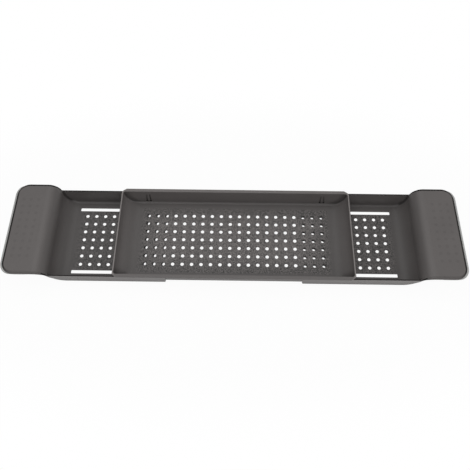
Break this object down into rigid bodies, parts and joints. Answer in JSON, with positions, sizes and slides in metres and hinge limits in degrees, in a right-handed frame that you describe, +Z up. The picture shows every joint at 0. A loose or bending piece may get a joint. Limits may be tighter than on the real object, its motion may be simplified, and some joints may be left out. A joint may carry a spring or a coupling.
{
  "type": "extendable bath tray",
  "caption": "Perforated bath tray with raised sides, whose two wings slide out from under it and rest on a bath's rims by flat arms.",
  "frame": {"origin": "on the surface that the tray stands on, under the middle of the centre tray", "axes": "+X towards the right wing, along the slides; +Y to the back; +Z up"},
  "size_m": [0.7612, 0.175, 0.0456],
  "materials": {
    "graphite_plastic": "moulded warm dark grey, semi-matt with a fine grain",
    "soft_grip": "soft light grey elastomer, matt",
    "clip_plastic": "moulded dark grey, matt"
  },
  "bodies": {
    "centre": {"centre_tray": "graphite_plastic", "guide_clip_front_left": "clip_plastic", "guide_clip_back_left": "clip_plastic", "guide_clip_front_right": "clip_plastic", "guide_clip_back_right": "clip_plastic"},
    "left_wing": {"left_wing": "graphite_plastic", "left_grip": "soft_grip"},
    "right_wing": {"right_wing": "graphite_plastic", "right_grip": "soft_grip"}
  },
  "joints": [
    {"name": "left_wing_slide", "type": "slide", "parent": "centre", "child": "left_wing", "axis": [-1, 0, 0], "range_m": [-0.104, 0.032]},
    {"name": "right_wing_slide", "type": "slide", "parent": "centre", "child": "right_wing", "axis": [1, 0, 0], "range_m": [-0.104, 0.032]}
  ]
}
